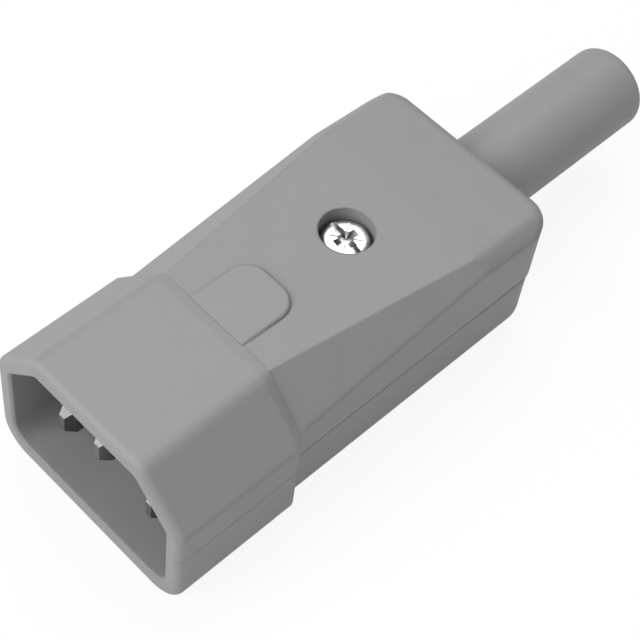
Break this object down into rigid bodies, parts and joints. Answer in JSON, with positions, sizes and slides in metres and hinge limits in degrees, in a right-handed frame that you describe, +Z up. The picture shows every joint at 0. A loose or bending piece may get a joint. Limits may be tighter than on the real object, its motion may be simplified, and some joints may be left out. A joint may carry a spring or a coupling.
{
  "type": "appliance plug",
  "caption": "Grey rewireable appliance plug with a chamfered shroud round flat pins, a screwed cover and a round bend-protection boot.",
  "frame": {"origin": "centre of the overall box in plan, on the plane that the shroud's underside stands on", "axes": "+X runs from the mating face to the boot's end, +Z up towards the earth pin, Y across"},
  "size_m": [0.0844, 0.0292, 0.0212],
  "materials": {
    "grey_housing": "fine moulded matt",
    "grey_boot": "smooth soft plastic",
    "insulator": "plain matt",
    "nickel_pin": "nickel-plated brass",
    "brass": "bare turned brass",
    "zinc_steel": "bright zinc plate"
  },
  "bodies": {
    "root": {"lower_housing": "grey_housing", "line_pin": "nickel_pin", "neutral_pin": "nickel_pin", "earth_pin": "nickel_pin", "pin_comb": "insulator", "line_terminal_block": "brass", "line_clamp_plate": "zinc_steel", "line_terminal_screw": "zinc_steel", "neutral_terminal_block": "brass", "neutral_clamp_plate": "zinc_steel", "neutral_terminal_screw": "zinc_steel", "earth_terminal_block": "brass", "earth_clamp_plate": "zinc_steel", "earth_terminal_screw": "zinc_steel", "threaded_insert": "brass", "cord_clamp_bar": "grey_housing", "left_clamp_screw": "zinc_steel", "right_clamp_screw": "zinc_steel", "strain_relief_boot": "grey_boot", "cover": "grey_housing", "closing_screw": "zinc_steel"}
  },
  "joints": []
}
